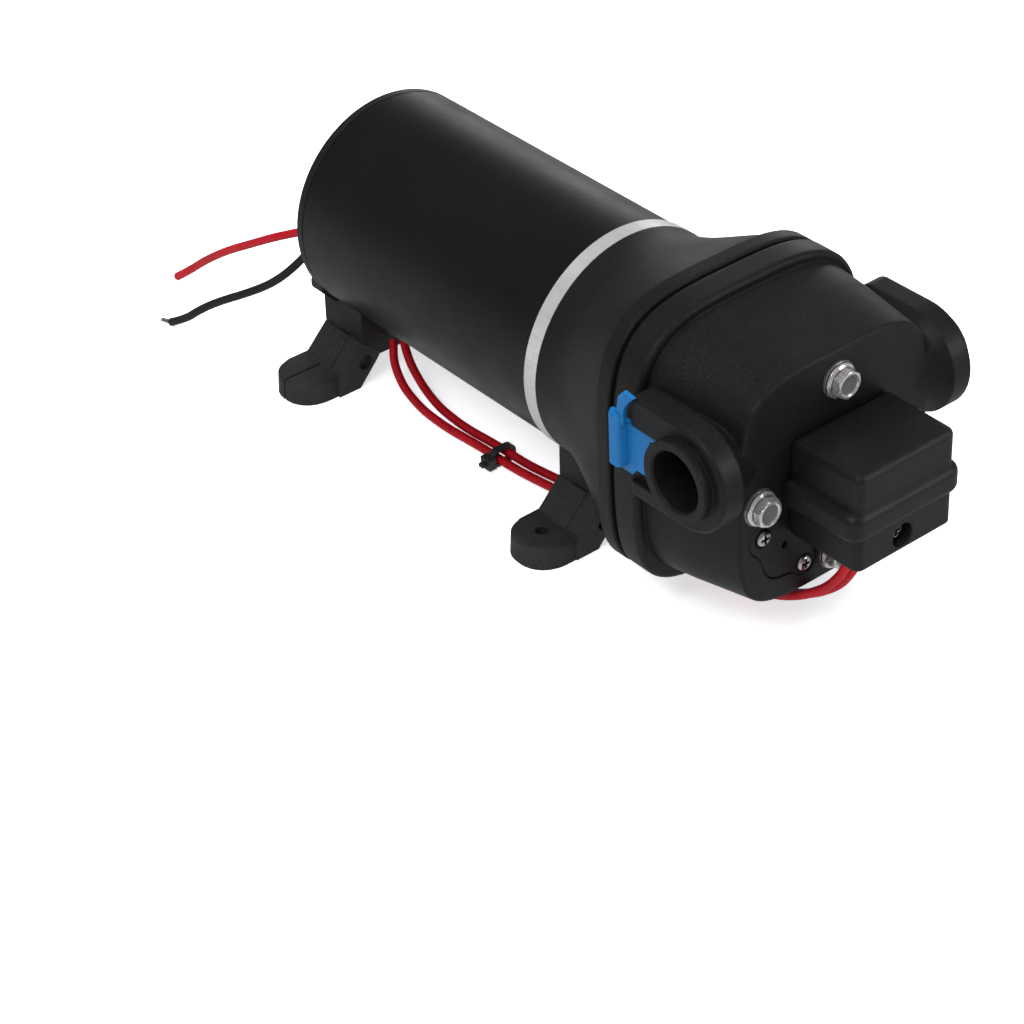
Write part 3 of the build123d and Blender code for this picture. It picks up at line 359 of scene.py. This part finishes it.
def m_band():
    k = Mat("band_alloy", (0.70, 0.70, 0.705), 0.64, 0.33)
    turned = k.noise(1.0, 4, 0.7, co=k.scaled(5200, 60, 60))
    # lighter and darker stretches round the ring, and fine marks across it
    k.tint(k.ramp(k.noise(38, 1, 0.5), 0.40, 0.62), (0.52, 0.52, 0.525))
    k.tint(k.ramp(k.noise(1.0, 3, 0.7, co=k.scaled(60, 900, 900)), 0.50, 0.72, 0.0, 0.45), (0.36, 0.36, 0.365))
    k.tint(k.ramp(turned, 0.3, 0.75, 0.0, 0.35), (0.44, 0.44, 0.445))
    k.tint(k.ramp(k.noise(140, 5, 0.7), 0.60, 0.75, 0.0, 0.5), (0.40, 0.40, 0.40))
    k.gloss(k.ramp(turned, 0.3, 0.75), 0.46)
    k.gloss(k.ramp(k.noise(45, 3), 0.45, 0.7), 0.28)
    k.round(0.0003)
    k.bump(turned, 0.00002, 0.6)
    return k.done()


def m_zinc(name="zinc", c=(0.86, 0.84, 0.82), rough=0.24, bolt=False, metal=1.0):
    k = Mat(name, c, metal, rough)
    k.tint(k.ramp(k.noise(300 if bolt else 700, 1 if bolt else 4, 0.6), 0.42, 0.72), tuple(q * 0.82 for q in c))
    k.gloss(k.ramp(k.noise(260 if bolt else 900, 1 if bolt else 4), 0.35, 0.7), rough + (0.05 if bolt else 0.10))
    if bolt:
        # darker and rougher in the head's dished top; painted shade as dark bands where the hexagon meets its flange,
        # between flange and washers and between the two washers
        sx = k.n("ShaderNodeSeparateXYZ")
        k.wire(k.co, sx.inputs[0])

        def zone(x0, x1, soft):
            p, q = (x0 - XC) / 1000.0, (x1 - XC) / 1000.0
            return k.mul(k.ramp(sx.outputs["X"], p - soft, p), k.ramp(sx.outputs["X"], q, q + soft, 1.0, 0.0))
        k.tint(k.mul(zone(207.78, 207.92, 0.00004), 0.85), (0.17, 0.17, 0.17))
        k.gloss(zone(207.78, 207.92, 0.00004), 0.5)
        # painted shade in the crease where the hexagon meets its flange
        k.tint(k.mul(zone(205.50, 205.68, 0.00008), 0.75), (0.06, 0.06, 0.06))
        # painted shade in the joint between the flange and the washers
        k.tint(k.mul(zone(204.22, 204.42, 0.00006), 0.9), (0.04, 0.04, 0.04))
        # painted shade in the joint between the two washers
        k.tint(k.mul(zone(203.74, 203.88, 0.00005), 0.9), (0.04, 0.04, 0.04))
        return k.done()
    k.tint(k.ramp(k.noise(2200, 3), 0.62, 0.76, 0.0, 0.4), tuple(q * 0.6 for q in c))
    k.round(0.00018)
    k.bump(k.noise(4200, 2), 0.000008, 0.5)
    return k.done()


def m_cross(name, top):
    # a cross-head screw: bright head, with painted shade, near black, in the cross recess and on the head's sides
    # more than 0.4 mm below its top; top is the head's highest x
    k = Mat(name, (0.88, 0.86, 0.84), 1.0, 0.22)
    k.tint(k.ramp(k.noise(500, 2, 0.6), 0.42, 0.72), (0.70, 0.68, 0.66))
    sx = k.n("ShaderNodeSeparateXYZ")
    k.wire(k.co, sx.inputs[0])
    u = (top - XC) / 1000.0
    # painted shade: near black below the head's top
    k.tint(k.ramp(sx.outputs["X"], u - 0.0009, u - 0.0004, 0.96, 0.0), (0.030, 0.026, 0.022))
    k.gloss(k.ramp(sx.outputs["X"], u - 0.0009, u - 0.0004, 1.0, 0.0), 0.6)
    k.round(0.00012)
    return k.done()


def m_clip():
    k = Mat("clip_blue", (0.0008, 0.086, 0.245), 0.0, 0.42, Specular_IOR_Level=0.20, Subsurface_Weight=0.12,
            Subsurface_Scale=0.001)
    k.tint(k.ramp(k.noise(180, 4), 0.35, 0.7), (0.0014, 0.100, 0.275))
    # painted highlight: lighter, brighter blue along the rounded edges
    k.tint(k.mul(k.edge(0.0005, 0.04, 0.4), 0.35), (0.03, 0.24, 0.50))
    k.gloss(k.ramp(k.noise(300, 4), 0.35, 0.7), 0.52)
    k.round(0.0004)
    k.bump(k.noise(900, 3), 0.00002, 0.6)
    return k.done()


def m_wire(name, c, c2, rough=0.36, level=0.36):
    k = Mat(name, c, 0.0, rough, Specular_IOR_Level=level)
    k.tint(k.ramp(k.noise(120, 4), 0.35, 0.7), c2)
    k.tint(k.mul(k.ramp(k.noise(900, 4), 0.62, 0.72), 0.35), tuple(q * 0.45 for q in c))
    k.gloss(k.ramp(k.noise(260, 4), 0.35, 0.7), rough + 0.12)
    k.bump(k.noise(420, 3), 0.00004, 0.5)
    return k.done()


def m_rubber(name="foot_rubber", c=0.0085, rough=0.62, level=0.38):
    k = Mat(name, (c, c, c * 1.02), 0.0, rough, Specular_IOR_Level=level)
    k.tint(k.ramp(k.noise(60, 4), 0.35, 0.7), (c * 1.6, c * 1.6, c * 1.6))
    dust = k.mul(k.ramp(k.noise(420, 6, 0.75), 0.56, 0.72), k.ramp(k.noise(40, 3), 0.42, 0.66))
    k.tint(k.mul(dust, 0.35), (0.060, 0.060, 0.060))
    edge_wear_and_highlight = k.mul(k.edge(0.0008, 0.04, 0.45), k.ramp(k.noise(200, 5, 0.7), 0.40, 0.68))
    k.tint(k.mul(edge_wear_and_highlight, 0.35), (0.05, 0.05, 0.05))
    k.gloss(k.ramp(k.noise(110, 5), 0.35, 0.7), rough - 0.1)
    grain = k.noise(1500, 3, 0.6)
    k.tint(k.ramp(grain, 0.46, 0.68, 0.0, 0.9), (c * 2.5, c * 2.5, c * 2.5))
    k.round(0.0009)
    k.bump(grain, 0.00008, 0.9)
    k.bump(k.noise(240, 3), 0.00006, 0.4)
    return k.done()


M["motor_paint"] = m_motor_paint()
M["cap_plastic"] = m_head_plastic("cap_plastic", 0.9, 0.45, 0.0004, 0.45)
M["head_plastic"] = m_head_plastic()
M["switch_plastic"] = m_head_plastic("switch_plastic", 0.95, 0.45, 0.0013, 0.38)
M["base_plastic"] = m_head_plastic("base_plastic", 1.2, 0.55, 0.0006, 0.36)
M["band_alloy"] = m_band()
M["zinc"] = m_zinc()
M["zinc_bolt"] = m_zinc("zinc_bolt", (0.80, 0.77, 0.755), 0.20, True, 0.84)
M["zinc_washer"] = m_zinc("zinc_washer", (0.74, 0.71, 0.695), 0.20, True, 0.84)
M["zinc_cross"] = m_cross("zinc_cross", 204.2)
M["zinc_cross_deep"] = m_cross("zinc_cross_deep", 227.5)
M["clip_blue"] = m_clip()
M["foot_rubber"] = m_rubber()
M["seal_rubber"] = m_rubber("seal_rubber", 0.0045, 0.6)
M["wire_red"] = m_wire("wire_red", (0.27, 0.0008, 0.0060), (0.33, 0.0014, 0.0080), 0.50, 0.15)
M["wire_black"] = m_wire("wire_black", (0.006, 0.006, 0.0065), (0.010, 0.010, 0.0105), 0.42)
M["tinned_copper"] = m_zinc("tinned_copper", (0.70, 0.68, 0.66), 0.3)
M["tie_nylon"] = m_simple("tie_nylon", (0.012, 0.012, 0.012), (0.02, 0.02, 0.02), 0.0, 0.4, 0.5, 200, 900, 0.00003)
M["ferrite"] = m_simple("ferrite", (0.045, 0.044, 0.043), (0.07, 0.068, 0.066), 0.0, 0.6, 0.7, 120, 1200, 0.00006)
M["steel"] = m_simple("steel", (0.52, 0.52, 0.53), (0.40, 0.40, 0.41), 1.0, 0.28, 0.42, 160, 1600, 0.00002)
M["lamination"] = m_simple("lamination", (0.30, 0.29, 0.28), (0.20, 0.19, 0.185), 1.0, 0.42, 0.55, 260, 3000, 0.00004)
M["copper"] = m_simple("copper", (0.74, 0.33, 0.16), (0.60, 0.24, 0.11), 1.0, 0.28, 0.42, 300, 1900, 0.00004)
M["board"] = m_simple("board", (0.16, 0.085, 0.035), (0.21, 0.12, 0.05), 0.0, 0.55, 0.66, 180, 1500, 0.00004)
M["brass"] = m_simple("brass", (0.72, 0.52, 0.22), (0.58, 0.41, 0.17), 1.0, 0.27, 0.42, 240, 1500, 0.00002)
M["carbon"] = m_simple("carbon", (0.03, 0.03, 0.031), (0.055, 0.055, 0.057), 0.2, 0.45, 0.6, 420, 2200, 0.00004)
M["inner_plastic"] = m_simple("inner_plastic", (0.55, 0.54, 0.50), (0.62, 0.61, 0.57), 0.0, 0.45, 0.55, 120, 1400, 0.00003)
M["button_red"] = m_simple("button_red", (0.50, 0.03, 0.02), (0.58, 0.05, 0.03), 0.0, 0.35, 0.45, 300, 1500, 0.00002)

slot_of = {}
for nd in frame["record"].get("nodes", []) if isinstance(frame["record"].get("nodes"), list) else []:
    slot_of[nd.get("name")] = nd.get("material")


def material_of(node_obj):
    # the slot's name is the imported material's name
    names = [s.material.name if s.material else "" for s in node_obj.material_slots]
    for nm in names:
        base = nm.split(".")[0]
        if base in M:
            return M[base]
    return None


loose = []
for name, o in NODE.items():
    mt = None
    for s in o.material_slots:
        if s.material:
            base = s.material.name.split(".")[0]
            mt = M.get(base)
    if mt is None:
        loose.append((name, [s.material.name if s.material else None for s in o.material_slots]))
        continue
    for s in o.material_slots:
        s.material = mt
for name, mat in (("cover_screws", "zinc_cross"), ("switch_cover_screw", "zinc_cross_deep")):
    for s in NODE[name].material_slots:
        s.material = M[mat]
if loose:
    print("nodes without a material:", loose)


def paint(o, mat):
    o.data.materials.clear()
    o.data.materials.append(M[mat])


paint(red, "wire_red")
paint(black, "wire_black")
paint(red_strands, "tinned_copper")
paint(black_strands, "tinned_copper")

# ------------------------------------------------------------------ head bolts and their washers
BOLT_PR = 28.8


def lathe(bm, cy, cz, profile, seg, shape=None):
    # rings about a line along x through (cy, cz); the first and last may be points
    prev = None
    for x, rr in profile:
        if rr <= 0.0:
            ring = [bm.verts.new(L(x, cy, cz))]
        else:
            ring = []
            for k in range(seg):
                th = 2 * math.pi * k / seg
                q = shape(x, rr, th) if shape else rr
                ring.append(bm.verts.new(L(x, cy + q * math.cos(th), cz + q * math.sin(th))))
        if prev is not None:
            if len(prev) == 1:
                for k in range(seg):
                    bm.faces.new((prev[0], ring[(k + 1) % seg], ring[k]))
            elif len(ring) == 1:
                for k in range(seg):
                    bm.faces.new((prev[k], prev[(k + 1) % seg], ring[0]))
            else:
                for k in range(seg):
                    bm.faces.new((prev[k], prev[(k + 1) % seg], ring[(k + 1) % seg], ring[k]))
        prev = ring


def finish_mesh(name, bm, angle=32.0):
    bmesh.ops.recalc_face_normals(bm, faces=bm.faces)
    me = D.meshes.new(name)
    bm.to_mesh(me)
    bm.free()
    me.shade_smooth()
    me.set_sharp_from_angle(angle=math.radians(angle))
    return link(D.objects.new(name, me))


def hex_shape(turn):
    def f(x, rr, th):
        w = ((th - turn) % (math.pi / 3)) - math.pi / 6
        return min(4.0 / math.cos(w), rr)
    return f


bm = bmesh.new()
for k, ang in enumerate((0, 90, 180, 270)):
    cy, cz = BOLT_PR * math.cos(math.radians(ang)), BOLT_PR * math.sin(math.radians(ang))
    lathe(bm, cy, cz, [(141.6, 0), (141.6, 2.25), (141.9, 2.48), (204.33, 2.48), (204.33, 5.0), (204.42, 5.24), (204.56, 5.33),
                       (204.80, 5.33), (204.95, 5.26), (205.08, 5.10), (205.3, 4.80), (205.6, 4.35), (205.6, 0)], 72)
    lathe(bm, cy, cz, [(205.2, 0), (205.2, 9), (207.35, 9), (207.62, 4.62), (207.86, 4.44), (208.06, 4.22), (208.2, 3.98),
                       (208.28, 3.72), (208.3, 3.5), (208.27, 3.3), (208.17, 3.14), (208.02, 3.02), (207.9, 2.86),
                       (207.84, 2.6), (207.82, 0)], 72, hex_shape(math.radians((10, 25, 40, 15)[k])))
bolts = finish_mesh("flange_bolts", bm)
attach(bolts, "pump")
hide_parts("head_bolts")
paint(bolts, "zinc_bolt")


bm = bmesh.new()
for k, ang in enumerate((0, 90, 180, 270)):
    cy, cz = BOLT_PR * math.cos(math.radians(ang)), BOLT_PR * math.sin(math.radians(ang))
    lathe(bm, cy, cz, [(203.53, 2.65), (203.53, 5.62), (203.57, 5.72), (203.66, 5.74), (203.76, 5.72), (203.80, 5.64), (203.81, 5.36)], 96)
    lathe(bm, cy, cz, [(203.81, 5.36), (203.90, 5.54), (203.96, 5.62), (204.16, 5.62), (204.24, 5.52), (204.27, 5.36), (204.27, 2.65),
                       (203.53, 2.65)], 96)
bmesh.ops.remove_doubles(bm, verts=bm.verts, dist=1e-7)
washers = finish_mesh("lock_washers", bm)
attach(washers, "pump")
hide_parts("head_washers")
paint(washers, "zinc_washer")

# ------------------------------------------------------------------ studio
fl = D.meshes.new("studio_floor")
bm = bmesh.new()
bmesh.ops.create_grid(bm, x_segments=2, y_segments=2, size=6.0)
bm.to_mesh(fl)
bm.free()
floor = link(D.objects.new("studio_floor", fl))
fm = Mat("floor_pale", (0.86, 0.87, 0.88), 0.0, 0.75)
fm.tint(fm.ramp(fm.noise(3.0, 3), 0.35, 0.7), (0.88, 0.885, 0.89))
fm.b.inputs["Emission Color"].default_value = (0.97, 0.985, 1.0, 1)
fm.b.inputs["Emission Strength"].default_value = 0.62
floor.data.materials.append(fm.done())

# the surroundings: pale below the horizon, darker overhead
w = D.worlds.new("studio")
SCN.world = w
w.use_nodes = True
wt = w.node_tree
bg = wt.nodes["Background"]
tc = wt.nodes.new("ShaderNodeTexCoord")
sep = wt.nodes.new("ShaderNodeSeparateXYZ")
wt.links.new(tc.outputs["Generated"], sep.inputs[0])
rm = wt.nodes.new("ShaderNodeValToRGB")
mr = wt.nodes.new("ShaderNodeMapRange")
mr.inputs["From Min"].default_value, mr.inputs["From Max"].default_value = -1.0, 1.0
wt.links.new(sep.outputs["Z"], mr.inputs["Value"])
wt.links.new(mr.outputs["Result"], rm.inputs["Fac"])
cr = rm.color_ramp
cr.elements[0].position, cr.elements[0].color = 0.0, (0.46, 0.465, 0.475, 1)
cr.elements[1].position, cr.elements[1].color = 1.0, (0.16, 0.165, 0.17, 1)
for pos, v in ((0.38, 0.44), (0.54, 0.18), (0.75, 0.14)):
    el = cr.elements.new(pos)
    el.color = (v, v * 1.01, v * 1.03, 1)
wt.links.new(rm.outputs["Color"], bg.inputs["Color"])
bg.inputs["Strength"].default_value = 1.0
floor.visible_glossy = False


def area(name, pos, target, size, size_y, power, color=(1, 1, 1)):
    ld = D.lights.new(name, "AREA")
    ld.shape = "RECTANGLE"
    ld.size, ld.size_y = size, size_y
    ld.energy = power
    ld.color = color
    o = link(D.objects.new(name, ld))
    o.location = pos
    o.rotation_euler = (Vector(pos) - Vector(target)).to_track_quat("Z", "Y").to_euler()
    return o


ov1 = area("over_soft", (0.0, -0.1, 1.6), (0.0, 0.0, 0.0), 3.0, 3.0, 100.0)
ov1.visible_glossy = False
area("front_right", (1.15, 0.75, 0.55), (0.05, 0.0, 0.05), 0.5, 0.5, 3.4)
area("key_small", (0.35, -0.9, 1.1), (0.05, 0.0, 0.05), 0.25, 0.25, 3.0)

area("back_rim", (-1.3, 1.45, 0.36), (0.0, 0.0, 0.05), 1.1, 0.32, 2.8)

SCN.view_settings.view_transform = "Standard"
SCN.view_settings.look = "None"
SCN.view_settings.exposure = 0.0

bpy.context.view_layer.update()
